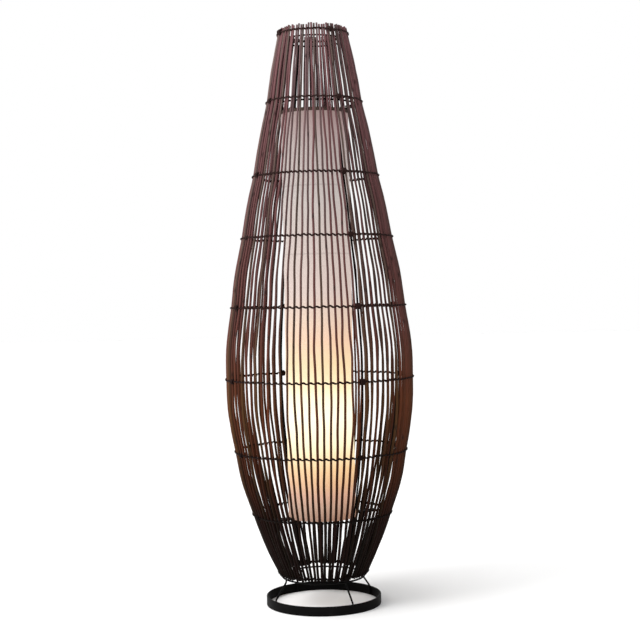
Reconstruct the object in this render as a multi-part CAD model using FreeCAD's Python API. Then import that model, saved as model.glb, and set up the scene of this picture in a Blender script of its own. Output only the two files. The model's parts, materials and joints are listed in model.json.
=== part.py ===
import FreeCAD, Part
import math
import os

# Rattan floor lamp. All sizes are in mm. +Z is up, the front faces -Y, and the floor is z = 0.
V = FreeCAD.Vector
ORIGIN = V(0, 0, 0)
UP = V(0, 0, 1)
HEIGHT = 1000.0

# Cage of stakes, in pairs, bound by hoops of two weavers
STAKE_D = 3.4
STAKE_PAIRS = 42
STAKE_NODES = 14
STAKE_FOOT_Z = 52.0
WEAVER_D = 1.8
WEAVER_GAP = 0.25
PAIR_GAP = 0.2
HOOPS = [  # height, and diameter over the weavers
    (990.0, 126.0),
    (872.5, 169.5),
    (744.5, 222.0),
    (638.0, 266.0),
    (519.0, 307.0),
    (395.0, 329.0),
    (269.0, 302.0),
    (160.0, 245.0),
    (57.0, 160.0),
]
SWELL = 1.5  # how far the stakes stand out halfway between two hoops
PAIRED_ABOVE_Z = 872.5
EVEN_BELOW_Z = 744.5
BETWEEN_HOOPS = [80.0, 108.0, 135.0, 196.0, 232.0, 311.0, 353.0, 436.0, 478.0, 559.0, 598.0]
BETWEEN_HOOPS += [692.0, 787.0, 830.0, 930.0]
EVEN_ABOVE_Z = 160.0
PAIRED_BELOW_Z = 57.0

# Steel frame
WIRE_D = 3.0
WELD_GAP = 0.1
UPRIGHT_GAP = 0.35  # between the inner weavers and the uprights
UPRIGHT_AZIMUTHS = (-63.0, 27.0, 117.0, 207.0)
LEG_AZIMUTHS = (-59.5, 30.5, 120.5, 210.5)
BASE_OD = 200.0
BASE_BAR_T = 3.0
BASE_BAR_H = 16.0
BOTTOM_RING_Z = 48.4
BOTTOM_RING_R = 71.5
UPPER_RING_Z = 868.0
TOP_RING_Z = 980.0
CROSSBAR_Z = 152.0
CROSSBAR_W = 20.0
CROSSBAR_T = 2.5
CROSSBAR_AZIMUTH = 117.0
LEG_BEND_R = 7.0

# Fabric shade
SHADE_OD = 118.0
SHADE_T = 1.0
SHADE_LOW_Z = 157.0
SHADE_TOP_Z = 857.0
SHADE_WIRE_D = 2.5
STAY_D = 2.0
ARM_AZIMUTHS = (60.0, 180.0, 300.0)
ARM_D = 2.4

# Threaded tube, nuts and lampholder
TUBE_OD = 10.0
TUBE_BORE = 8.0
TUBE_LOW_Z = 140.0
TUBE_TOP_Z = 222.0
NUT_AF = 14.0
NUT_H = 4.0
HOLDER_Z = 208.0
HOLDER_R = 20.0
FLANGE_TOP_Z = 245.0
FITTER_T = 2.0
CONTACT_Z = 245.1
BULB_R = 30.0
BULB_CENTRE_Z = 322.0
DOME_LOW_Z = 309.0


def hoop_radius(diameter):
    """Radius of the stakes' centre lines at a hoop of this diameter."""
    return diameter / 2 - WEAVER_D - WEAVER_GAP - STAKE_D / 2


def profile_table():
    """Heights and radii of the stakes' centre lines, from the foot up."""
    table = [(z, hoop_radius(d)) for z, d in reversed(HOOPS)]
    foot = (STAKE_FOOT_Z, table[0][1] - 2.5)
    tip = (HEIGHT - 0.3, table[-1][1] - 1.8)
    return [foot] + table + [tip]


PROFILE = profile_table()


def tangents():
    """Slope of the profile at each of its points."""
    found = []
    for i in range(len(PROFILE)):
        low = PROFILE[max(i - 1, 0)]
        high = PROFILE[min(i + 1, len(PROFILE) - 1)]
        found.append((high[1] - low[1]) / (high[0] - low[0]))
    return found


SLOPES = tangents()


def stake_radius(z):
    """Radius of the stakes' centre lines at height z, by a cubic between the profile's points."""
    i = max(k for k in range(len(PROFILE) - 1) if PROFILE[k][0] <= max(z, STAKE_FOOT_Z))
    (z0, r0), (z1, r1) = PROFILE[i], PROFILE[i + 1]
    h = z1 - z0
    t = (z - z0) / h
    a = (1 + 2 * t) * (1 - t) ** 2 * r0 + t * (1 - t) ** 2 * h * SLOPES[i]
    a += t * t * (3 - 2 * t) * r1 + t * t * (t - 1) * h * SLOPES[i + 1]
    between = 0 < i < len(PROFILE) - 2
    return a + (SWELL * math.sin(math.pi * t) ** 2 if between else 0.0)


def lean(z):
    """Change of the stakes' radius per mm of height."""
    return (stake_radius(z + 0.5) - stake_radius(z - 0.5)) if z < HEIGHT - 1 else SLOPES[-1]


def offset_point(z, inward):
    """Radius and height of the point that is inward of the stakes at height z, square to them."""
    slope = lean(z)
    length = math.hypot(1, slope)
    return stake_radius(z) - inward / length, z + inward * slope / length


def offset_radius(z, inward):
    """Radius, at height z, of the surface that is inward of the stakes."""
    return stake_radius(z) - inward * math.hypot(1, lean(z))


def around(radius, azimuth, z):
    """The point at this radius and height. Azimuth 0 is the front, and it grows towards +X."""
    a = math.radians(azimuth)
    return V(radius * math.sin(a), -radius * math.cos(a), z)


def smooth(z, low, high):
    t = min(1.0, max(0.0, (z - low) / (high - low)))
    return t * t * (3 - 2 * t)


def half_pitch(z):
    """Half the angle between the two stakes of a pair at height z."""
    even = 360.0 / STAKE_PAIRS / 4
    paired = math.degrees(math.asin((STAKE_D + PAIR_GAP) / 2 / stake_radius(z)))
    share = smooth(z, EVEN_BELOW_Z, PAIRED_ABOVE_Z) + 1 - smooth(z, PAIRED_BELOW_Z, EVEN_ABOVE_Z)
    return even + (paired - even) * share


def rod(path, diameter):
    """A round solid along a path of edges."""
    wire = Part.Wire(path)
    first = wire.OrderedEdges[0]
    start = first.valueAt(first.FirstParameter)
    along = first.tangentAt(first.FirstParameter)
    ring = Part.Wire([Part.Circle(start, along, diameter / 2).toShape()])
    return wire.makePipeShell([ring], True, False)


def rounded(points, radius=None):
    """Edges of a line through points, with its corners rounded, gently if no radius is given."""
    edges = []
    last = points[0]
    for k in range(1, len(points) - 1):
        back = points[k - 1] - points[k]
        ahead = points[k + 1] - points[k]
        reach = min(8.0, 0.45 * back.Length, 0.45 * ahead.Length)
        half = back.getAngle(ahead) / 2
        back.normalize()
        ahead.normalize()
        if radius:
            reach = radius / math.tan(half)
        start = points[k] + back * reach
        end = points[k] + ahead * reach
        inner = (back + ahead).normalize()
        arc_r = reach * math.tan(half)
        middle = points[k] + inner * (arc_r / math.sin(half) - arc_r)
        edges.append(Part.makeLine(last, start))
        edges.append(Part.Arc(start, middle, end).toShape())
        last = end
    edges.append(Part.makeLine(last, points[-1]))
    return edges


def wire_ring(radius, z, diameter):
    return Part.makeTorus(radius, diameter / 2, V(0, 0, z), UP)


def turned(points):
    """A solid of revolution about Z from a closed outline of (radius, height)."""
    corners = [V(r, 0, z) for r, z in points]
    face = Part.Face(Part.makePolygon(corners + corners[:1]))
    return face.revolve(ORIGIN, UP, 360)


def washer(inner, outer, low, high):
    return turned([(inner, low), (outer, low), (outer, high), (inner, high)])


def stake(side):
    """One stake of the pair at azimuth 0, on its left (-1) or right (+1) side."""
    heights = sorted([z for z, _ in PROFILE] + BETWEEN_HOOPS)
    points = [around(stake_radius(z), side * half_pitch(z), z) for z in heights]
    return rod(rounded(points), STAKE_D)


def stake_group(left, right, index):
    """The pairs of stakes of one sector."""
    per_node = STAKE_PAIRS // STAKE_NODES
    solids = []
    for k in range(per_node):
        azimuth = (index * per_node + k) * 360.0 / STAKE_PAIRS
        for side in (left, right):
            turned_stake = side.copy()
            turned_stake.rotate(ORIGIN, UP, azimuth)
            solids.append(turned_stake)
    return Part.makeCompound(solids)


def hoop(z):
    """The outer and inner weavers at one hoop, each square to the stakes."""
    away = STAKE_D / 2 + WEAVER_GAP + WEAVER_D / 2
    rings = [wire_ring(*offset_point(z, d), WEAVER_D) for d in (-away, away)]
    return Part.makeCompound(rings)


def upright_inset():
    return STAKE_D / 2 + WEAVER_GAP + WEAVER_D + UPRIGHT_GAP + WIRE_D / 2


def upright(azimuth):
    """A wire that follows the cage inside the weavers, from the bottom ring to the top ring."""
    foot_r = BOTTOM_RING_R - WIRE_D - WELD_GAP
    line = [(foot_r, BOTTOM_RING_Z - 1.0), (foot_r, BOTTOM_RING_Z + 2.0)]
    heights = [z for z, _ in PROFILE[1:-2]] + BETWEEN_HOOPS + [TOP_RING_Z + 4]
    line += [offset_point(z, upright_inset()) for z in sorted(heights)]
    return rod(rounded([around(r, azimuth, z) for r, z in line]), WIRE_D)


def frame_ring(z):
    """A ring welded inside the uprights."""
    inset = upright_inset() + WIRE_D + WELD_GAP
    return wire_ring(offset_radius(z, inset), z, WIRE_D)


def leg(azimuth):
    """A wire from the outside of the bottom ring to the inside face of the base hoop."""
    top_r = BOTTOM_RING_R + WIRE_D + WELD_GAP
    foot_r = BASE_OD / 2 - BASE_BAR_T - WIRE_D / 2 - WELD_GAP
    line = [(top_r, 49.6), (top_r, 45.5), (foot_r, 17.0), (foot_r, 1.5)]
    return rod(rounded([around(r, azimuth, z) for r, z in line], LEG_BEND_R), WIRE_D)


def crossbar():
    """A flat bar between two uprights, with a hole for the threaded tube."""
    reach = offset_radius(CROSSBAR_Z, upright_inset() + WIRE_D / 2) - 0.4
    low = V(-CROSSBAR_W / 2, -reach, CROSSBAR_Z)
    bar = Part.makeBox(CROSSBAR_W, 2 * reach, CROSSBAR_T, low)
    hole = Part.makeCylinder(TUBE_OD / 2 + 0.2, 10, V(0, 0, CROSSBAR_Z - 4), UP)
    bar = bar.cut(hole)
    bar.rotate(ORIGIN, UP, CROSSBAR_AZIMUTH)
    return bar


def base_hoop():
    return washer(BASE_OD / 2 - BASE_BAR_T, BASE_OD / 2, 0, BASE_BAR_H)


def shade_ring_radius():
    return SHADE_OD / 2 - SHADE_T - 0.2 - SHADE_WIRE_D / 2


def shade_stays():
    """Four wires from the upper ring over the shade's edge to its top ring."""
    outer_r = offset_radius(UPPER_RING_Z, upright_inset() + 1.5 * WIRE_D + WELD_GAP) - 0.3
    inner_r = shade_ring_radius()
    low_z = SHADE_TOP_Z - 2 + SHADE_WIRE_D / 2 + 0.15
    line = [(outer_r, UPPER_RING_Z), (inner_r, UPPER_RING_Z), (inner_r, low_z)]
    solids = []
    for azimuth in UPRIGHT_AZIMUTHS:
        solids.append(rod(rounded([around(r, azimuth, z) for r, z in line], 4.0), STAY_D))
    return Part.makeCompound(solids)


def shade_fitter():
    """The washer on the lampholder's flange, and three arms down to the shade's bottom ring."""
    low = FLANGE_TOP_Z + 0.1
    body = washer(HOLDER_R + 0.4, 27.0, low, low + FITTER_T)
    middle = low + FITTER_T / 2 - 0.3
    end_z = SHADE_LOW_Z + 2.5 + SHADE_WIRE_D / 2 + 0.15
    line = [(25.0, middle), (36.0, middle), (shade_ring_radius(), end_z)]
    for azimuth in ARM_AZIMUTHS:
        arm = rod(rounded([around(r, azimuth, z) for r, z in line], 5.0), ARM_D)
        body = body.fuse(arm)
    return body.removeSplitter()


def nut(z):
    points = [around(NUT_AF / math.sqrt(3), 60 * k, z) for k in range(7)]
    prism = Part.Face(Part.makePolygon(points)).extrude(V(0, 0, NUT_H))
    return prism.cut(Part.makeCylinder(TUBE_OD / 2 + 0.05, NUT_H + 2, V(0, 0, z - 1), UP))


def holder_cap():
    r = HOLDER_R
    z = HOLDER_Z
    outer = [(5.06, z), (8, z), (8, z + 5), (r - 2, z + 8), (r, z + 12), (r, z + 29)]
    inner = [(r - 2, z + 29), (r - 2, z + 13), (r - 3.5, z + 10), (5.06, z + 8)]
    return turned(outer + inner)


def holder_shell():
    """The skirt above the cap, with a flange for the shade's fitter and a thread above it."""
    r = HOLDER_R
    z = FLANGE_TOP_Z
    outer = [(r - 1.8, 237.2), (r, 237.2), (r, z - 3), (r + 4, z - 3), (r + 4, z), (r - 0.3, z)]
    for k in range(8):
        low = z + 3 + 2.5 * k
        outer += [(r - 0.3, low), (r, low + 0.8), (r, low + 1.4), (r - 0.3, low + 2.2)]
    return turned(outer + [(r - 0.3, 272), (r - 1.8, 272)])


def holder_base():
    return turned([(0, 232), (17.8, 232), (17.8, 241.5), (2, 241.5), (2, 238), (0, 238)])


def screw_shell():
    return washer(13.7, 14.2, 241.7, 268)


def centre_contact():
    return turned([(0, 240.0), (1.5, 240.0), (1.5, 243.8), (3.5, 243.8), (3.5, 245.0), (0, 245.0)])


def terminal_screws():
    spots = (-9, 9)
    return Part.makeCompound([Part.makeCylinder(1.5, 6, V(x, 0, 225.9), UP) for x in spots])


def shade_ring():
    """The ring that clamps the shade's fitter, with grip ribs."""
    z = FLANGE_TOP_Z + FITTER_T + 0.3
    r = HOLDER_R + 0.3
    ring = turned([(r, z), (27, z), (27, z + 2), (23.5, z + 2), (23.5, z + 7.5), (r, z + 7.5)])
    for k in range(12):
        rib = Part.makeBox(2.0, 2.4, 5.5, V(23, -1.2, z + 1.8))
        rib.rotate(ORIGIN, UP, 30 * k)
        ring = ring.fuse(rib)
    return ring.removeSplitter()


def bulb_contact():
    z = CONTACT_Z
    return turned([(0, z), (3.5, z), (4.5, z + 0.8), (4.5, z + 1.8), (0, z + 1.8)])


def bulb_insulator():
    z = CONTACT_Z + 1.9
    return turned([(0, z), (5.5, z), (12.4, z + 4), (12.4, z + 6), (0, z + 6)])


def bulb_cap():
    """The bulb's screw cap, with its rolled thread as rings."""
    outer = [(12.7, 250.9), (12.9, 251.5)]
    for k in range(5):
        low = 252.0 + 3.629 * k
        outer += [(12.9, low), (13.3, low + 1.2), (13.3, low + 2.0), (12.9, low + 3.2)]
    return turned(outer + [(12.9, 271.9), (12.5, 271.9), (12.5, 250.9)])


def bulb_body():
    outer = [(12.4, 264), (12.4, 272), (14, 272), (16, 280), (22, 296), (27, 308.8)]
    inner = [(25, 308.8), (20, 296.6), (14, 280.6), (12, 274), (10.6, 264)]
    return turned(outer + inner)


def bulb_dome():
    ball = Part.makeSphere(BULB_R, V(0, 0, BULB_CENTRE_Z))
    ball = ball.cut(Part.makeSphere(BULB_R - 1.2, V(0, 0, BULB_CENTRE_Z)))
    low = V(-40, -40, DOME_LOW_Z)
    return ball.common(Part.makeBox(80, 80, 60, low))


def all_parts():
    parts = {"base_hoop": base_hoop()}
    for k, azimuth in enumerate(LEG_AZIMUTHS, 1):
        parts[f"leg_{k}"] = leg(azimuth)
    for k, azimuth in enumerate(UPRIGHT_AZIMUTHS, 1):
        parts[f"upright_{k}"] = upright(azimuth)
    parts["frame_ring_bottom"] = wire_ring(BOTTOM_RING_R, BOTTOM_RING_Z, WIRE_D)
    parts["frame_ring_upper"] = frame_ring(UPPER_RING_Z)
    parts["frame_ring_top"] = frame_ring(TOP_RING_Z)
    parts["crossbar"] = crossbar()
    left, right = stake(-1), stake(1)
    for k in range(STAKE_NODES):
        parts[f"stakes_{k + 1:02d}"] = stake_group(left, right, k)
    for k, (z, _) in enumerate(HOOPS, 1):
        parts[f"hoop_{k}"] = hoop(z)
    parts["shade_fabric"] = washer(SHADE_OD / 2 - SHADE_T, SHADE_OD / 2, SHADE_LOW_Z, SHADE_TOP_Z)
    parts["shade_wire_top"] = wire_ring(shade_ring_radius(), SHADE_TOP_Z - 2, SHADE_WIRE_D)
    parts["shade_wire_bottom"] = wire_ring(shade_ring_radius(), SHADE_LOW_Z + 2.5, SHADE_WIRE_D)
    parts["shade_stays"] = shade_stays()
    parts["shade_fitter"] = shade_fitter()
    parts["threaded_tube"] = washer(TUBE_BORE / 2, TUBE_OD / 2, TUBE_LOW_Z, TUBE_TOP_Z)
    parts["nut_lower"] = nut(CROSSBAR_Z - NUT_H - 0.1)
    parts["nut_upper"] = nut(CROSSBAR_Z + CROSSBAR_T + 0.1)
    parts["holder_cap"] = holder_cap()
    parts["holder_shell"] = holder_shell()
    parts["holder_base"] = holder_base()
    parts["screw_shell"] = screw_shell()
    parts["centre_contact"] = centre_contact()
    parts["terminal_screws"] = terminal_screws()
    parts["shade_ring"] = shade_ring()
    parts["bulb_contact"] = bulb_contact()
    parts["bulb_insulator"] = bulb_insulator()
    parts["bulb_cap"] = bulb_cap()
    parts["bulb_body"] = bulb_body()
    parts["bulb_dome"] = bulb_dome()
    return parts


os.makedirs("parts", exist_ok=True)
for name, shape in all_parts().items():
    shape.exportStep(f"parts/{name}.step")
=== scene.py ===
import json
import math

import bpy
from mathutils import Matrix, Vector


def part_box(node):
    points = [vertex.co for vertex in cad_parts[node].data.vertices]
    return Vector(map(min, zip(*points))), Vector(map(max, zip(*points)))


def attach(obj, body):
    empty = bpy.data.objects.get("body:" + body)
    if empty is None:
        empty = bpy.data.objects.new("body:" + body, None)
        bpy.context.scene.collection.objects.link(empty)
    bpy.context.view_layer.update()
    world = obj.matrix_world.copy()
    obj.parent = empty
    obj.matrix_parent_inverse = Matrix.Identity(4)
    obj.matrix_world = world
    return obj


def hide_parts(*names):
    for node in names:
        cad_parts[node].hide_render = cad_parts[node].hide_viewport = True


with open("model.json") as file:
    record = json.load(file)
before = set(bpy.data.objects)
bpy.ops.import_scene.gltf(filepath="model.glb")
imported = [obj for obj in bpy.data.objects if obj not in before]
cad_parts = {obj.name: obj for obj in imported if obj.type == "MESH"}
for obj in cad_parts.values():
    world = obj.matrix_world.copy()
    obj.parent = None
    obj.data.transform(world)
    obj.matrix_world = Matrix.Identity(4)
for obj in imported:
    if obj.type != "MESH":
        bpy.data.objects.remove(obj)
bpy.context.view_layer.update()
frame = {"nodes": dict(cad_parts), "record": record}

# Sizes are in metres. +Z is up and the front of the lamp faces -Y.
MM = 0.001
TURN = 2 * math.pi

# The cage: stakes in pairs, bound by hoops that are numbered from the top down
STAKE_PAIRS = 42
POINTS_A_STAKE = 92
BUTT_RADIUS = 2.45 * MM
TIP_RADIUS = 1.7 * MM
PAIR_GAP = 0.2 * MM
SWELL = 1.5 * MM  # how far the stakes stand out halfway between two hoops
PAIRED_FOOT = 45 * MM  # how far below hoop 8 the stakes begin to close up into pairs
HOOP_COUNT = 9
EVEN_HOOPS = (3, 4, 5, 6, 7, 8)  # these go round single stakes, the others round pairs
UPRIGHT_AZIMUTHS = (-63.0, 27.0, 117.0, 207.0)

# The frame's plain stakes and hoops, which this cage is measured from
FRAME_STAKE_RADIUS = 1.7 * MM
FRAME_WEAVER_RADIUS = 0.9 * MM
FRAME_HOOP_OFFSET = FRAME_STAKE_RADIUS + 0.25 * MM + FRAME_WEAVER_RADIUS  # between their middles

BASE_BAR_THICKNESS = 3 * MM

# The shade
CLOTH_THICKNESS = 0.6 * MM
CLOTH_HANG = 4.5 * MM  # how far the cloth hangs below its bottom wire's seat
SEAM_HEIGHTS = (0.609, 0.726)
WARP_PITCH = 1.1 * MM
WEFT_PITCH = 1.0 * MM


# ---- Node building ----

class Wire:
    """One output of a node. A sum on it adds a Math node to the same tree."""

    def __init__(self, graph, socket):
        self.graph = graph
        self.socket = socket

    def __add__(self, other):
        return self.graph.sum("ADD", self, other)

    def __sub__(self, other):
        return self.graph.sum("SUBTRACT", self, other)

    def __rsub__(self, other):
        return self.graph.sum("SUBTRACT", other, self)

    def __mul__(self, other):
        return self.graph.sum("MULTIPLY", self, other)

    def __truediv__(self, other):
        return self.graph.sum("DIVIDE", self, other)

    def __rtruediv__(self, other):
        return self.graph.sum("DIVIDE", other, self)

    __radd__ = __add__
    __rmul__ = __mul__


class Graph:
    """Adds nodes to a shader or geometry tree."""

    def __init__(self, tree):
        self.tree = tree

    def plug(self, socket, value):
        if isinstance(value, Wire):
            self.tree.links.new(value.socket, socket)
        else:
            socket.default_value = value

    def add(self, kind, settings=None, sockets=None, out=0):
        """A node of this kind, with its settings made first and then its sockets' values or links."""
        node = self.tree.nodes.new(kind)
        for name, value in (settings or {}).items():
            if name == "stops":
                set_stops(node.color_ramp, value)
            elif name == "points":
                set_points(node.mapping, value)
            else:
                setattr(node, name, value)
        for key, value in (sockets or {}).items():
            self.plug(node.inputs[key], value)
        return Wire(self, node.outputs[out])

    def sum(self, operation, *values):
        return self.add("ShaderNodeMath", {"operation": operation}, dict(enumerate(values)))

    def clamp(self, value):
        return self.add("ShaderNodeClamp", {}, {"Value": value})

    def vector(self, x, y, z):
        return self.add("ShaderNodeCombineXYZ", {}, {"X": x, "Y": y, "Z": z})

    def part(self, vector, axis):
        """One coordinate of a vector: 0 for X, 1 for Y, 2 for Z."""
        return self.add("ShaderNodeSeparateXYZ", {}, {"Vector": vector}, out=axis)

    def noise(self, vector, scale, detail=2.0, roughness=0.5):
        sockets = {"Vector": vector, "Scale": scale, "Detail": detail, "Roughness": roughness}
        return self.add("ShaderNodeTexNoise", {}, sockets)

    def step(self, value, low, high, to_low=0.0, to_high=1.0):
        """A smooth step of value from to_low at low to to_high at high."""
        sockets = {0: value, 1: low, 2: high, 3: to_low, 4: to_high}
        return self.add("ShaderNodeMapRange", {"interpolation_type": "SMOOTHSTEP"}, sockets)

    def ramp(self, value, stops):
        return self.add("ShaderNodeValToRGB", {"stops": stops}, {"Fac": value})

    def mix(self, share, first, second, kind="MIX"):
        settings = {"data_type": "RGBA", "blend_type": kind}
        return self.add("ShaderNodeMix", settings, {0: share, 6: first, 7: second}, out=2)

    def grey(self, value):
        return self.add("ShaderNodeCombineColor", {}, {0: value, 1: value, 2: value})

    def shaded(self, color, value):
        """This colour times this number."""
        return self.mix(1.0, color, self.grey(value), "MULTIPLY")

    def random(self, number, seed):
        """A number from 0 to 1 that differs for each whole number."""
        return self.add("ShaderNodeTexWhiteNoise", {"noise_dimensions": "1D"}, {"W": number * 1.37 + seed})


def set_stops(ramp, stops):
    while len(ramp.elements) > 1:
        ramp.elements.remove(ramp.elements[-1])
    ramp.elements[0].position = stops[0][0]
    ramp.elements[0].color = (*stops[0][1], 1)
    for position, color in stops[1:]:
        ramp.elements.new(position).color = (*color, 1)


def set_points(mapping, points):
    line = mapping.curves[0].points
    line[0].location = points[0]
    line[1].location = points[-1]
    for x, y in points[1:-1]:
        line.new(x, y)
    mapping.update()


# ---- The cage's shape ----

def hoop_facts():
    """(height, radius of the stakes' centre lines) at each hoop, from the top down."""
    rough = []
    for k in range(1, HOOP_COUNT + 1):
        low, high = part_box(f"hoop_{k}")
        rough.append(((low[2] + high[2]) / 2, high[0] - FRAME_WEAVER_RADIUS - FRAME_HOOP_OFFSET))
    facts = []
    for k, (z, r) in enumerate(rough):
        above, below = rough[max(k - 1, 0)], rough[min(k + 1, HOOP_COUNT - 1)]
        lean = (above[1] - below[1]) / (above[0] - below[0])
        facts.append((z, r + FRAME_HOOP_OFFSET * (1 - 1 / math.hypot(1, lean))))
    return facts


HOOPS = hoop_facts()
FOOT_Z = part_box("stakes_01")[0][2] + 0.7 * MM
TIP_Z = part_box("stakes_01")[1][2] - 0.3 * MM


def cage_points():
    """(height, radius) of the stakes' centre lines, from the foot up."""
    bound = HOOPS[::-1]
    foot, tip = (FOOT_Z, bound[0][1] - 2.5 * MM), (TIP_Z, bound[-1][1] - 1.8 * MM)
    return [foot] + bound + [tip]


CAGE = cage_points()


def cage_lean(i):
    """Change of radius with height at this point of the cage."""
    low, high = CAGE[max(i - 1, 0)], CAGE[min(i + 1, len(CAGE) - 1)]
    return (high[1] - low[1]) / (high[0] - low[0])


def cage_radius(z):
    """Radius of the stakes' centre lines at this height."""
    i = max(k for k in range(len(CAGE) - 1) if CAGE[k][0] <= max(z, FOOT_Z))
    (z0, r0), (z1, r1) = CAGE[i], CAGE[i + 1]
    h = z1 - z0
    t = (z - z0) / h
    below = (1 + 2 * t) * (1 - t) ** 2 * r0 + t * (1 - t) ** 2 * h * cage_lean(i)
    above = t * t * (3 - 2 * t) * r1 + t * t * (t - 1) * h * cage_lean(i + 1)
    swell = SWELL * math.sin(math.pi * t) ** 2 if 0 < i < len(CAGE) - 2 else 0.0
    return below + above + swell


def around(radius, azimuth, z):
    """The point at this radius, azimuth in degrees from the front towards +X, and height."""
    a = math.radians(azimuth)
    return Vector((radius * math.sin(a), -radius * math.cos(a), z))


# ---- Materials ----

def material(name):
    """A new material, its graph and its shader node."""
    made = bpy.data.materials.new(name)
    made.use_nodes = True
    return made, Graph(made.node_tree), made.node_tree.nodes["Principled BSDF"]


def finish_with(graph, shader, **sockets):
    """Sets or links the shader's sockets, named with _ for each space."""
    for name, value in sockets.items():
        graph.plug(shader.inputs[name.replace("_", " ")], value)


def bump(graph, height, distance, strength=1.0):
    return graph.add("ShaderNodeBump", {}, {"Height": height, "Distance": distance, "Strength": strength})


def place(graph, scale=(1, 1, 1)):
    """Object coordinates, scaled along each axis."""
    spot = graph.add("ShaderNodeTexCoord", out=3)
    return graph.add("ShaderNodeMapping", {}, {"Vector": spot, "Scale": scale})


def height_of(graph):
    return graph.part(graph.add("ShaderNodeTexCoord", out=3), 2)


def dull(shader, level):
    """A surface that mirrors little, as stained wood and powder coat do."""
    shader.inputs["Specular IOR Level"].default_value = level
    shader.inputs["IOR"].default_value = 1.25


def attribute(graph, name):
    return graph.add("ShaderNodeAttribute", {"attribute_name": name}, out=2)


# Stake colour by height: lighter high up and darker towards the foot as painted light and shade, and
# orange-red from 0.24 to 0.36 m as the lit shade's glow painted on.
STAKE_STAIN_AND_PAINTED_LIGHT = [  # height, colour
    (0.04, (0.0040, 0.0021, 0.0014)),
    (0.15, (0.0088, 0.0040, 0.0026)),
    (0.24, (0.036, 0.0140, 0.0060)),
    (0.36, (0.074, 0.0300, 0.0135)),
    (0.50, (0.080, 0.040, 0.033)),
    (0.68, (0.090, 0.052, 0.050)),
    (0.85, (0.110, 0.066, 0.067)),
    (1.00, (0.125, 0.078, 0.080)),
]


def stake_stain_and_painted_light():
    """Peeled stakes under a dark brown stain: long grain, leaf nodes, and a tone for each stake. Painted
    light and shade by height.
    """
    made, graph, shader = material("stake_stain_and_painted_light")
    tone = attribute(graph, "tone")
    along = attribute(graph, "along")
    grain = graph.noise(place(graph, (900, 900, 22)), 1.0, 3.0, 0.6)
    patches = graph.noise(place(graph, (60, 60, 14)), 1.0, 2.0)
    # Painted light: this ramp holds painted shade towards the foot and the shade's glow painted on low down.
    base = graph.ramp(height_of(graph), STAKE_STAIN_AND_PAINTED_LIGHT)
    hue = graph.sum("FRACT", tone * 7.3)
    shade = 0.40 + tone * 0.72 + grain * 0.34 + patches * 0.36 - 0.14
    toned = graph.shaded(base, shade)
    red = graph.mix(graph.step(hue, 0.60, 0.85), toned, (1.06, 0.80, 0.82, 1), "MULTIPLY")
    warm = graph.mix(graph.step(hue, 0.35, 0.10), red, (0.92, 1.04, 0.90, 1), "MULTIPLY")
    nodes = along * 6.2 + tone * 9.0
    joint = graph.step(graph.sum("PINGPONG", nodes, 1.0), 0.0, 0.045, 1.0, 0.0)
    scar = graph.mix(joint * 0.6, warm, (0.012, 0.008, 0.007, 1))
    relief = grain * 0.25 + joint * 0.9 + patches * 0.2
    finish_with(graph, shader, Base_Color=scar, Roughness=0.50 + grain * 0.22 - joint * 0.05,
                Normal=bump(graph, relief, 0.25 * MM, 0.7))
    dull(shader, 0.14)
    return made


# Weaver colour by height: darker towards the foot as painted shade.
WEAVER_STAIN_AND_PAINTED_SHADE = [  # height, colour
    (0.04, (0.0035, 0.0022, 0.0018)),
    (0.20, (0.0050, 0.0028, 0.0022)),
    (0.40, (0.014, 0.0062, 0.0050)),
    (0.70, (0.022, 0.0105, 0.0095)),
    (1.00, (0.026, 0.0135, 0.0125)),
]


def weaver_stain_and_painted_shade():
    """Split cane under a stain that is near black, darker towards the foot as painted shade."""
    made, graph, shader = material("weaver_stain_and_painted_shade")
    fibre = graph.noise(place(graph, (700, 700, 1400)), 1.0, 3.0, 0.65)
    patches = graph.noise(place(graph, (45, 45, 45)), 1.0, 2.0)
    # Painted shade: this ramp darkens the weavers towards the foot.
    base = graph.ramp(height_of(graph), WEAVER_STAIN_AND_PAINTED_SHADE)
    shade = 0.55 + fibre * 0.5 + patches * 0.5
    finish_with(graph, shader, Base_Color=graph.shaded(base, shade), Roughness=0.55 + fibre * 0.25,
                Normal=bump(graph, fibre, 0.2 * MM, 0.8))
    dull(shader, 0.15)
    return made


def black_coat():
    """Black powder coat on steel: fine orange peel, and dull dust in patches."""
    made, graph, shader = material("black_powder_coat")
    peel = graph.noise(place(graph, (900, 900, 900)), 1.0, 2.0)
    dust = graph.noise(place(graph, (38, 38, 38)), 1.0, 4.0, 0.6)
    clean, dulled, dusty = (0.0022, 0.0020, 0.0020), (0.0036, 0.0033, 0.0032), (0.007, 0.0065, 0.006)
    tint = graph.ramp(dust, [(0.3, clean), (0.62, dulled), (0.8, dusty)])
    finish_with(graph, shader, Base_Color=tint, Roughness=0.42 + dust * 0.25,
                Normal=bump(graph, peel, 0.06 * MM, 0.6))
    dull(shader, 0.12)
    return made


GLOW = [  # height, and colour of the light that comes through the cloth there
    (0.155, (0.27, 0.11, 0.05)),
    (0.175, (0.43, 0.23, 0.14)),
    (0.195, (0.60, 0.30, 0.18)),
    (0.215, (0.73, 0.40, 0.18)),
    (0.240, (0.89, 0.55, 0.24)),
    (0.260, (1.00, 0.74, 0.40)),
    (0.285, (1.15, 0.95, 0.60)),
    (0.330, (1.25, 1.10, 0.80)),
    (0.360, (1.20, 1.02, 0.68)),
    (0.380, (1.05, 0.83, 0.48)),
    (0.420, (0.88, 0.64, 0.34)),
    (0.460, (0.82, 0.52, 0.33)),
    (0.500, (0.68, 0.49, 0.37)),
    (0.540, (0.58, 0.45, 0.40)),
    (0.710, (0.43, 0.38, 0.36)),
    (0.790, (0.36, 0.29, 0.28)),
    (0.830, (0.29, 0.19, 0.19)),
    (0.860, (0.20, 0.12, 0.11)),
]
GLOW_LOW = 0.15
GLOW_HIGH = 0.87


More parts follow.
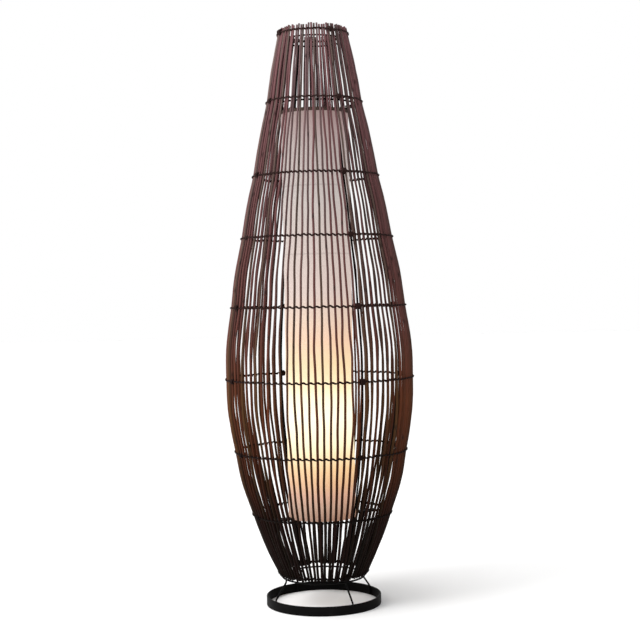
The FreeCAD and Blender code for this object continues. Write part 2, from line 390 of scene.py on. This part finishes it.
def lit_cloth():
    """Cream cloth lit from inside: a plain weave with slubs, and two faint seams."""
    made, graph, shader = material("lit_cream_cloth")
    height = height_of(graph)
    uv = graph.add("ShaderNodeUVMap", {"uv_map": "cloth"})
    across, up = graph.part(uv, 0), graph.part(uv, 1)
    warp = graph.sum("SINE", across * (TURN / WARP_PITCH))
    weft = graph.sum("SINE", up * (TURN / WEFT_PITCH))
    slub = graph.noise(graph.vector(across * 900, up * 55, 0.0), 1.0, 2.0)
    streak = graph.noise(graph.vector(across * 60, up * 1100, 3.0), 1.0, 2.0)
    cloud = graph.noise(graph.vector(across * 14, up * 9, 5.0), 1.0, 2.0)
    thread = graph.clamp(0.90 + slub * 0.10 + streak * 0.08 + cloud * 0.06 - 0.04)
    for z in SEAM_HEIGHTS:
        near = graph.step(graph.sum("ABSOLUTE", height - z), 0.6 * MM, 2.2 * MM, 0.86, 1.0)
        thread = thread * near
    share = graph.add("ShaderNodeMapRange", {}, {0: height, 1: GLOW_LOW, 2: GLOW_HIGH})
    lit = graph.shaded(graph.ramp(share, glow_stops()), thread)
    base = graph.shaded((0.23, 0.21, 0.195, 1), thread)
    relief = warp * weft * 0.5 + slub * 0.8 + streak * 0.5
    finish_with(graph, shader, Base_Color=base, Emission_Color=lit,
                Normal=bump(graph, relief, 0.15 * MM, 0.5))
    shader.inputs["Roughness"].default_value = 0.9
    shader.inputs["Emission Strength"].default_value = 1.0
    shader.inputs["Sheen Weight"].default_value = 0.15
    return made


def glow_stops():
    return [((z - GLOW_LOW) / (GLOW_HIGH - GLOW_LOW), color) for z, color in GLOW]


def binding_tape():
    """Brown ribbed tape."""
    made, graph, shader = material("brown_binding_tape")
    rib = graph.noise(place(graph, (1500, 1500, 300)), 1.0, 2.0)
    tint = graph.ramp(rib, [(0.3, (0.060, 0.034, 0.026)), (0.7, (0.12, 0.072, 0.055))])
    finish_with(graph, shader, Base_Color=tint, Normal=bump(graph, rib, 0.15 * MM, 0.8))
    shader.inputs["Roughness"].default_value = 0.85
    return made


def plain_finish(name, dark, light, scale, roughness, metallic=0.0):
    """A finish of two close tones in patches, with a fine surface."""
    made, graph, shader = material(name)
    patch = graph.noise(place(graph, (scale, scale, scale)), 1.0, 3.0)
    fine = graph.noise(place(graph, (scale * 14, scale * 14, scale * 14)), 1.0, 2.0)
    tint = graph.ramp(patch, [(0.3, dark), (0.7, light)])
    finish_with(graph, shader, Base_Color=tint, Roughness=roughness + fine * 0.12 - 0.06,
                Normal=bump(graph, fine, 0.05 * MM, 0.5))
    shader.inputs["Metallic"].default_value = metallic
    return made


def opal_dome():
    """The bulb's diffuser, lit, and a little warmer at its rim."""
    made, graph, shader = material("lit_opal_dome")
    height = height_of(graph)
    patch = graph.noise(place(graph, (30, 30, 30)), 1.0, 1.0)
    glow = graph.mix(graph.step(height, 0.309, 0.335), (1.0, 0.72, 0.42, 1), (1.0, 0.86, 0.62, 1))
    lit = graph.mix(patch * 0.1, glow, (1.0, 1.0, 0.9, 1))
    finish_with(graph, shader, Emission_Color=lit, Roughness=0.3 + patch * 0.1)
    shader.inputs["Base Color"].default_value = (0.9, 0.88, 0.82, 1)
    shader.inputs["Emission Strength"].default_value = 4.0
    return made


# ---- Meshes ----

def add_piece(name, vertices, faces, finish, smooth=True):
    mesh = bpy.data.meshes.new(name)
    mesh.from_pydata(vertices, [], faces)
    mesh.materials.append(finish)
    mesh.polygons.foreach_set("use_smooth", [smooth] * len(mesh.polygons))
    mesh.update()
    piece = bpy.data.objects.new(name, mesh)
    bpy.context.scene.collection.objects.link(piece)
    return piece


def lathe(name, outline, steps, finish):
    """A closed ring from an outline of (radius, height) that runs anticlockwise."""
    count = len(outline)
    vertices = [around(r, 360 * k / steps, z) for k in range(steps) for r, z in outline]
    faces = []
    for k in range(steps):
        ahead = (k + 1) % steps
        for i in range(count):
            j = (i + 1) % count
            faces.append((k * count + i, ahead * count + i, ahead * count + j, k * count + j))
    return add_piece(name, vertices, faces, finish)


def rounded_bar(inner, outer, low, high, radius, parts=4):
    """The outline of a flat bar with rounded edges."""
    outline = []
    corners = [(outer - radius, low + radius, -90), (outer - radius, high - radius, 0),
               (inner + radius, high - radius, 90), (inner + radius, low + radius, 180)]
    for r, z, start in corners:
        for k in range(parts + 1):
            a = math.radians(start + 90 * k / parts)
            outline.append((r + radius * math.cos(a), z + radius * math.sin(a)))
    return outline


def new_tree(name, sockets):
    """A geometry tree with these named inputs: its graph, and a wire from each input."""
    tree = bpy.data.node_groups.new(name, "GeometryNodeTree")
    tree.interface.new_socket("Geometry", in_out="OUTPUT", socket_type="NodeSocketGeometry")
    tree.interface.new_socket("Geometry", in_out="INPUT", socket_type="NodeSocketGeometry")
    for label, kind in sockets.items():
        tree.interface.new_socket(label, in_out="INPUT", socket_type="NodeSocket" + kind)
    tree.interface.new_socket("Finish", in_out="INPUT", socket_type="NodeSocketMaterial")
    graph = Graph(tree)
    start = tree.nodes.new("NodeGroupInput")
    return graph, {s.name: Wire(graph, s) for s in start.outputs if s.name}


def close_tree(graph, geometry, finish):
    """Ends a tree with its instances made real, its faces smooth and its material set."""
    real = graph.add("GeometryNodeRealizeInstances", {}, {"Geometry": geometry})
    smooth = graph.add("GeometryNodeSetShadeSmooth", {}, {"Geometry": real})
    done = graph.add("GeometryNodeSetMaterial", {}, {"Geometry": smooth, "Material": finish})
    end = graph.tree.nodes.new("NodeGroupOutput")
    graph.plug(end.inputs[0], done)
    return graph.tree


def grown(name, tree, values, start=None):
    """What a geometry tree makes with these inputs, as a plain mesh object."""
    piece = bpy.data.objects.new(name, start or bpy.data.meshes.new(name))
    bpy.context.scene.collection.objects.link(piece)
    modifier = piece.modifiers.new("make", "NODES")
    modifier.node_group = tree
    for item in tree.interface.items_tree:
        if item.in_out == "INPUT" and item.name in values:
            modifier[item.identifier] = values[item.name]
    bpy.context.view_layer.update()
    evaluated = piece.evaluated_get(bpy.context.evaluated_depsgraph_get())
    mesh = bpy.data.meshes.new_from_object(evaluated)
    piece.modifiers.clear()
    piece.data = mesh
    mesh.name = name
    return piece


def tube_from(graph, curve, radius, sides, caps):
    """A round tube along a curve."""
    ring = graph.add("GeometryNodeCurvePrimitiveCircle", {}, {"Resolution": sides, "Radius": 1.0})
    sockets = {"Curve": curve, "Profile Curve": ring, "Scale": radius, "Fill Caps": caps}
    return graph.add("GeometryNodeCurveToMesh", {}, sockets)


def keep(graph, geometry, name, value):
    """Stores a number on each point under a name that a material can read."""
    settings = {"data_type": "FLOAT", "domain": "POINT"}
    sockets = {"Geometry": geometry, "Name": name, "Value": value}
    return graph.add("GeometryNodeStoreNamedAttribute", settings, sockets)


def curves_from(graph, points, number, share):
    """One curve through the points of each number, in the order of their share."""
    sockets = {"Points": points, "Curve Group ID": number, "Weight": share}
    return graph.add("GeometryNodePointsToCurves", {}, sockets)


def radius_curve():
    """Points of the cage's outline, both ways from 0 to 1, and its widest radius."""
    widest = max(r for _, r in CAGE)
    spots = sorted({FOOT_Z + (TIP_Z - FOOT_Z) * k / 22 for k in range(23)} | {z for z, _ in CAGE})
    return [((z - FOOT_Z) / (TIP_Z - FOOT_Z), cage_radius(z) / widest) for z in spots], widest


def slack_curve():
    """How freely a stake wanders: little at each hoop, most halfway between two."""
    levels = sorted(z for z, _ in HOOPS)
    points = [(0.0, 0.5)]
    for low, high in zip(levels, levels[1:]):
        points += [(low, 0.30), ((low + high) / 2, 1.0)]
    points = [((z - FOOT_Z) / (TIP_Z - FOOT_Z) if z else 0.0, s) for z, s in points]
    return points + [((levels[-1] - FOOT_Z) / (TIP_Z - FOOT_Z), 0.3), (1.0, 0.5)]


def drifted(graph, angle):
    """This azimuth after the slow drift of the stakes' spacing round the cage."""
    drift = graph.step(angle, 1.35, 2.05) - graph.step(angle, 3.7, 4.6)
    return angle + drift * (TURN * 0.375 / STAKE_PAIRS)


def stakes_tree(paired_low, even_low, even_high, paired_high):
    """Stakes evenly spaced between two heights, and in pairs below and above the other two."""
    outline, widest = radius_curve()
    graph, given = new_tree("stakes", {
        "Pairs": "Int", "Points a stake": "Int", "Foot": "Float", "Tip": "Float",
        "Butt radius": "Float", "Tip radius": "Float", "Pair gap": "Float",
        "Wander": "Float", "Tip spread": "Float", "Seed": "Float"})
    per, seed = given["Points a stake"], given["Seed"]
    index = graph.add("GeometryNodeInputIndex")
    stake = graph.sum("FLOOR", (index + 0.5) / per)
    share = (index - stake * per) / (per - 1)
    drop = graph.random(stake, seed) * given["Tip spread"]
    lift = graph.random(stake, seed + 5.1) * given["Tip spread"] * 0.8
    z = given["Foot"] + lift + (given["Tip"] - drop - given["Foot"] - lift) * share
    part = (z - given["Foot"]) / (given["Tip"] - given["Foot"])
    radius = graph.add("ShaderNodeFloatCurve", {"points": outline}, {"Value": part}) * widest
    slack = graph.add("ShaderNodeFloatCurve", {"points": slack_curve()}, {"Value": part}) * given["Wander"]
    thick = given["Butt radius"] + (given["Tip radius"] - given["Butt radius"]) * graph.sum("SQRT", part)
    pair = graph.sum("FLOOR", (stake + 0.5) / 2)
    side = (stake - pair * 2) * 2 - 1
    even = (TURN / 4) / given["Pairs"]
    paired = (thick + given["Pair gap"] / 2) / radius
    bunched = graph.step(z, even_high, paired_high) + 1.0 - graph.step(z, paired_low, even_low)
    half = even + (paired - even) * bunched
    kink = graph.noise(graph.vector(stake * 4.57, z * 26.0, seed + 6.0), 1.0, 1.0) - 0.5
    sway = graph.noise(graph.vector(stake * 7.31, z * 5.5, seed), 1.0, 1.0) - 0.5 + kink * 0.15
    breathe = graph.noise(graph.vector(stake * 3.17, z * 7.0, seed + 9.0), 1.0, 2.0) - 0.5
    loose = 1.0 - bunched * 0.40
    place_round = drifted(graph, pair * TURN / given["Pairs"] + side * half)
    angle = place_round + sway * 2.0 * slack * loose / radius
    out = radius + breathe * slack * 0.9
    spot = graph.vector(out * graph.sum("SINE", angle), out * graph.sum("COSINE", angle) * -1.0, z)
    points = graph.add("GeometryNodePoints", {}, {"Count": given["Pairs"] * 2 * per, "Position": spot})
    points = keep(graph, points, "tone", graph.random(stake, seed + 2.7))
    points = keep(graph, points, "along", share)
    curves = curves_from(graph, points, stake, share)
    swell = graph.noise(graph.vector(stake * 5.3, z * 16.0, seed + 3.0), 1.0, 2.0) - 0.5
    girth = thick * (0.92 + graph.random(stake, seed + 7.9) * 0.16 + swell * 0.14)
    return close_tree(graph, tube_from(graph, curves, girth, 8, True), given["Finish"])


def twine_tree():
    """Two weavers, a half turn round each other from stake to stake, that slant down in each gap."""
    graph, given = new_tree("twined_hoop", {
        "Units": "Int", "Points a unit": "Int", "Radius": "Float", "Height": "Float", "First": "Float",
        "Reach": "Float", "Rise": "Float", "Flatness": "Float", "Weaver": "Float",
        "Slant": "Float", "Waviness": "Float", "Seed": "Float"})
    seed = given["Seed"]
    index = graph.add("GeometryNodeInputIndex")
    count = given["Units"] * given["Points a unit"]
    weaver = graph.sum("FLOOR", (index + 0.5) / count)
    place_on = index - weaver * count
    unit = place_on / given["Points a unit"]
    theta = drifted(graph, given["First"] + unit * TURN / given["Units"])
    phase = (unit + weaver) * (TURN / 2)
    wave = graph.sum("COSINE", phase)
    flat = wave * (1 + given["Flatness"]) / (1 + given["Flatness"] * graph.sum("ABSOLUTE", wave))
    sine, cosine = graph.sum("SINE", theta), graph.sum("COSINE", theta)
    drift = graph.noise(graph.vector(cosine * 2.2, sine * 2.2, seed), 1.0, 2.0) - 0.5
    jog = graph.noise(graph.vector(cosine * 11.0, sine * 11.0, seed + 4.0), 1.0, 1.0) - 0.5
    slant = graph.sum("SINE", phase * 2.0) * given["Slant"]
    up = slant - graph.sum("SINE", phase) * given["Rise"] + (drift * 2.0 + jog) * given["Waviness"]
    radius = given["Radius"] + flat * given["Reach"]
    spot = graph.vector(radius * sine, radius * cosine * -1.0, given["Height"] + up)
    points = graph.add("GeometryNodePoints", {}, {"Count": count * 2, "Position": spot})
    curves = curves_from(graph, points, weaver, place_on)
    ring = graph.add("GeometryNodeSetSplineCyclic", {}, {"Geometry": curves, "Cyclic": True})
    thin = graph.noise(graph.vector(cosine * 40.0, sine * 40.0, seed + weaver * 3.0), 1.0, 1.0)
    girth = given["Weaver"] * (0.92 + thin * 0.16)
    return close_tree(graph, tube_from(graph, ring, girth, 6, False), given["Finish"])


def tie_tree():
    """A few turns of weaver at each of a mesh's points, and a loose end at some of them."""
    graph, given = new_tree("ties", {
        "Turns": "Float", "Width": "Float", "Radius": "Float", "Weaver": "Float", "Depth": "Float",
        "Tail": "Float", "Tails": "Float", "Last tail": "Float"})
    coil = graph.add("GeometryNodeCurveSpiral", {}, {
        "Resolution": 12, "Rotations": given["Turns"], "Start Radius": given["Radius"],
        "End Radius": given["Radius"] * 1.06, "Height": given["Width"]})
    back = graph.vector(0.0, 0.0, given["Width"] * -0.5)
    centred = graph.add("GeometryNodeTransform", {}, {"Geometry": coil, "Translation": back})
    bound = tube_from(graph, centred, given["Weaver"], 6, True)
    lying = graph.add("GeometryNodeTransform", {}, {"Geometry": bound, "Rotation": (0.0, TURN / 4, 0.0)})
    azimuth = graph.add("GeometryNodeInputNamedAttribute", {"data_type": "FLOAT"}, {"Name": "azimuth"})
    index = graph.add("GeometryNodeInputIndex")
    size = 0.85 + graph.random(index, 3.3) * 0.35
    sockets = {"Points": given["Geometry"], "Instance": lying,
               "Rotation": graph.vector((graph.random(index, 8.8) - 0.5) * 0.5, 0.0, azimuth),
               "Scale": graph.vector(size, size * given["Depth"], size)}
    placed = graph.add("GeometryNodeInstanceOnPoints", {}, sockets)
    loose = graph.add("GeometryNodeCurveQuadraticBezier", {}, {
        "Resolution": 8, "Start": graph.vector(0.0, given["Radius"] * -1.1, 0.0),
        "Middle": graph.vector(given["Tail"] * 0.35, given["Radius"] * -1.8, given["Tail"] * -0.25),
        "End": graph.vector(given["Tail"] * 0.30, given["Radius"] * -1.1, given["Tail"] * -1.0)})
    side = graph.sum("SIGN", graph.random(index, 5.5) - 0.5)
    long = 0.5 + graph.random(index, 1.9) * 0.7
    end = tube_from(graph, loose, given["Weaver"] * 0.85, 6, True)
    sockets = {"Points": given["Geometry"], "Instance": end,
               "Selection": graph.sum("LESS_THAN", graph.random(index, 4.4), given["Tails"])
               * graph.sum("LESS_THAN", index, given["Last tail"]),
               "Rotation": graph.vector(0.0, 0.0, azimuth), "Scale": graph.vector(side * long, 1.0, long)}
    tails = graph.add("GeometryNodeInstanceOnPoints", {}, sockets)
    both = graph.tree.nodes.new("GeometryNodeJoinGeometry")
    graph.plug(both.inputs[0], placed)
    graph.plug(both.inputs[0], tails)
    return close_tree(graph, Wire(graph, both.outputs[0]), given["Finish"])


# ---- Finishes ----

FINISHES = {
    "stakes": stake_stain_and_painted_light(),
    "weavers": weaver_stain_and_painted_shade(),
    "black_steel": black_coat(),
    "shade_fabric": lit_cloth(),
    "white_wire": plain_finish("white_coated_wire", (0.55, 0.53, 0.49), (0.72, 0.70, 0.66), 60, 0.42),
    "zinc_steel": plain_finish("zinc_plate", (0.38, 0.38, 0.37), (0.56, 0.56, 0.55), 90, 0.34, 1.0),
    "black_plastic": plain_finish(
        "black_moulded_plastic", (0.012, 0.012, 0.012), (0.022, 0.022, 0.023), 50, 0.38),
    "white_ceramic": plain_finish("glazed_ceramic", (0.70, 0.69, 0.65), (0.80, 0.79, 0.75), 40, 0.18),
    "brass": plain_finish("plain_brass", (0.58, 0.40, 0.16), (0.72, 0.54, 0.25), 80, 0.30, 1.0),
    "bulb_cap": plain_finish("rolled_aluminium", (0.62, 0.62, 0.63), (0.76, 0.76, 0.77), 90, 0.28, 1.0),
    "dark_glass": plain_finish("black_glass", (0.010, 0.010, 0.012), (0.018, 0.018, 0.020), 60, 0.12),
    "white_plastic": plain_finish("white_moulded_plastic", (0.74, 0.73, 0.70), (0.82, 0.81, 0.79), 40, 0.40),
    "bulb_dome": opal_dome(),
}
TAPE = binding_tape()


def finish_frame():
    """Gives every carried-over node the finish of its slot."""
    for part in frame["record"]["subparts"]:
        node = frame["nodes"][part["node"]]
        node.data.materials.clear()
        node.data.materials.append(FINISHES[part["material_slot"]])


# ---- The lamp ----

def make_stakes():
    levels = {k: z for k, (z, _) in enumerate(HOOPS, 1)}
    tree = stakes_tree(levels[9], levels[8] - PAIRED_FOOT, levels[3], levels[2])
    piece = grown("cage_stakes", tree, {
        "Pairs": STAKE_PAIRS, "Points a stake": POINTS_A_STAKE, "Foot": FOOT_Z, "Tip": TIP_Z,
        "Butt radius": BUTT_RADIUS, "Tip radius": TIP_RADIUS, "Pair gap": PAIR_GAP, "Wander": 5.4 * MM,
        "Tip spread": 3.4 * MM, "Seed": 4.0, "Finish": FINISHES["stakes"]})
    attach(piece, "lamp")
    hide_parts(*[f"stakes_{k:02d}" for k in range(1, 15)])


def make_hoops():
    tree = twine_tree()
    for k, (z, r) in enumerate(HOOPS, 1):
        even = k in EVEN_HOOPS
        units = STAKE_PAIRS * 2 if even else STAKE_PAIRS
        piece = grown(f"hoop_{k}_twining", tree, {
            "Units": units, "Points a unit": 8 if even else 14, "Radius": r, "Height": z,
            "First": TURN / 4 / STAKE_PAIRS if even else 0.0, "Flatness": 0.8 if even else 2.4,
            "Reach": 3.0 * MM, "Rise": 0.7 * MM, "Weaver": 1.12 * MM, "Slant": 1.05 * MM,
            "Waviness": 1.8 * MM, "Seed": 10.0 + k, "Finish": FINISHES["weavers"]})
        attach(piece, "lamp")
        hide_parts(f"hoop_{k}")


def gap_azimuth(azimuth, even):
    """The middle of the gap between stakes that is nearest to this azimuth."""
    pitch = 360 / STAKE_PAIRS / (2 if even else 1)
    start = 0.0 if even else pitch / 2
    return start + pitch * round((azimuth - start) / pitch)


def make_ties():
    """The bindings that hold each hoop to the uprights. Those of the lowest hoop have no loose ends."""
    spots, turns = [], []
    for k, (z, r) in enumerate(HOOPS, 1):
        for azimuth in UPRIGHT_AZIMUTHS:
            at = gap_azimuth(azimuth, k in EVEN_HOOPS)
            spots.append(around(r - 1.0 * MM, at, z))
            turns.append(math.radians(at))
    mesh = bpy.data.meshes.new("tie_points")
    mesh.from_pydata(spots, [], [])
    mesh.attributes.new("azimuth", "FLOAT", "POINT").data.foreach_set("value", turns)
    piece = grown("hoop_ties", tie_tree(), {
        "Turns": 4.0, "Width": 7.5 * MM, "Radius": 3.8 * MM, "Weaver": 1.05 * MM, "Depth": 1.5,
        "Tail": 16.0 * MM, "Tails": 0.35, "Last tail": 31.5, "Finish": FINISHES["weavers"]}, mesh)
    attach(piece, "lamp")


def make_base():
    """The flat bar that the lamp stands on."""
    low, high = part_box("base_hoop")
    outline = rounded_bar(high[0] - BASE_BAR_THICKNESS, high[0], low[2], high[2], 0.7 * MM)
    piece = lathe("base_hoop_bar", outline, 180, FINISHES["black_steel"])
    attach(piece, "lamp")
    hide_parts("base_hoop")


def make_shade():
    """The cloth tube: a little slack between its rings, with shallow puckers and two raised seams."""
    low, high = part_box("shade_fabric")
    foot = low[2] - CLOTH_HANG
    columns, rows = 180, 120
    tube_r = high[0] - 0.15 * MM
    vertices, spots = [], []
    for j in range(rows + 1):
        v = j / rows
        z = foot + (high[2] - foot) * v
        for i in range(columns):
            a = TURN * i / columns
            pucker = 0.22 * MM * math.sin(5 * a + 9 * v) + 0.18 * MM * math.sin(11 * a - 6 * v + 1.3)
            ripple = 0.16 * MM * math.sin(46 * v + 2 * math.sin(a))
            seam = sum(0.45 * MM * math.exp(-((z - s) / (1.6 * MM)) ** 2) for s in SEAM_HEIGHTS)
            free = min(1.0, 12 * v, 12 * (1 - v))
            r = tube_r + (pucker + ripple - 0.25 * MM) * free + seam
            vertices.append(around(r, math.degrees(a), z))
            spots.append((a * tube_r, z))
    faces = []
    for j in range(rows):
        for i in range(columns):
            n = (i + 1) % columns
            faces.append((j * columns + i, j * columns + n, (j + 1) * columns + n, (j + 1) * columns + i))
    piece = add_piece("shade_cloth", vertices, faces, FINISHES["shade_fabric"])
    layer = piece.data.uv_layers.new(name="cloth")
    for polygon in piece.data.polygons:
        wrap = TURN * tube_r if max(polygon.vertices) % columns == columns - 1 else 0.0
        for corner in polygon.loop_indices:
            u, v = spots[piece.data.loops[corner].vertex_index]
            layer.data[corner].uv = (u + (wrap if wrap and u < 0.5 * wrap else 0.0), v)
    solid = piece.modifiers.new("thickness", "SOLIDIFY")
    solid.thickness = CLOTH_THICKNESS
    solid.offset = -1.0
    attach(piece, "lamp")
    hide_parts("shade_fabric")
    return piece, tube_r


def make_bindings(tube_r):
    """Folded tape over the cloth's two edges."""
    low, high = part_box("shade_fabric")
    made = []
    for name, z0, z1 in (("shade_binding_top", high[2] - 5.5 * MM, high[2] + 0.5 * MM),
                         ("shade_binding_bottom", low[2] - CLOTH_HANG - 0.5 * MM, low[2] + 2.0 * MM)):
        finish = TAPE if name.endswith("top") else FINISHES["shade_fabric"]
        outline = rounded_bar(tube_r - 1.0 * MM, tube_r + 0.45 * MM, z0, z1, 0.5 * MM, 3)
        piece = lathe(name, outline, 150, finish)
        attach(piece, "lamp")
        made.append(piece)
    return made


def make_floor():
    floor_finish, graph, shader = material("pale_floor")
    speck = graph.noise(place(graph, (3, 3, 3)), 1.0, 3.0)
    tint = graph.ramp(speck, [(0.3, (0.96, 0.96, 0.96)), (0.7, (0.98, 0.98, 0.98))])
    finish_with(graph, shader, Base_Color=tint)
    shader.inputs["Roughness"].default_value = 0.9
    size = 14.0
    corners = [(-size, -size, 0), (size, -size, 0), (size, size, 0), (-size, size, 0)]
    add_piece("floor", corners, [(0, 1, 2, 3)], floor_finish, False)


def make_studio():
    """White all round, but darker high up on the right, so that the stakes there are in shade."""
    world = bpy.data.worlds.new("studio")
    world.use_nodes = True
    sky = Graph(world.node_tree)
    spot = sky.add("ShaderNodeTexCoord")
    flag = sky.step(sky.part(spot, 0), 0.25, 0.6) * sky.step(sky.part(spot, 2), 0.16, 0.30)
    side = sky.ramp(flag, [(0.0, (1.0, 1.0, 1.0)), (1.0, (0.10, 0.10, 0.10))])
    background = world.node_tree.nodes["Background"]
    sky.plug(background.inputs["Color"], side)
    background.inputs["Strength"].default_value = 1.0
    bpy.context.scene.world = world
    add_light("key", (-2.2, -1.3, 1.9), (0, 0, 0.75), 1.4, 56)
    overhead = add_light("overhead", (-0.9, -0.5, 3.0), (0, 0, 0), None, 0.95)
    overhead.angle = math.radians(50)
    add_light("fill", (1.6, -2.4, 1.4), (0, 0, 0.5), 1.5, 2)


def add_light(name, spot, aim, size, power):
    """A square light of this size, or a sun where it has none."""
    data = bpy.data.lights.new(name, "AREA" if size else "SUN")
    if size:
        data.size = size
    data.energy = power
    light = bpy.data.objects.new(name, data)
    light.location = spot
    light.rotation_euler = (Vector(aim) - Vector(spot)).to_track_quat("-Z", "Y").to_euler()
    bpy.context.scene.collection.objects.link(light)
    return data


def add_camera():
    """In front of the lamp at half its height, aimed a little down, and tilted a little sideways."""
    data = bpy.data.cameras.new("camera")
    data.sensor_width = 36
    data.lens = 72.6
    camera = bpy.data.objects.new("camera", data)
    camera.location = (0.0036, -2.25, 0.54)
    camera.rotation_euler = (math.radians(90 - 1.15), math.radians(1.15), 0)
    bpy.context.scene.collection.objects.link(camera)
    bpy.context.scene.camera = camera


add_camera()
finish_frame()
make_stakes()
make_hoops()
make_ties()
make_base()
cloth, cloth_radius = make_shade()
bindings = make_bindings(cloth_radius)
make_floor()
make_studio()
bpy.context.scene.view_settings.view_transform = "Standard"
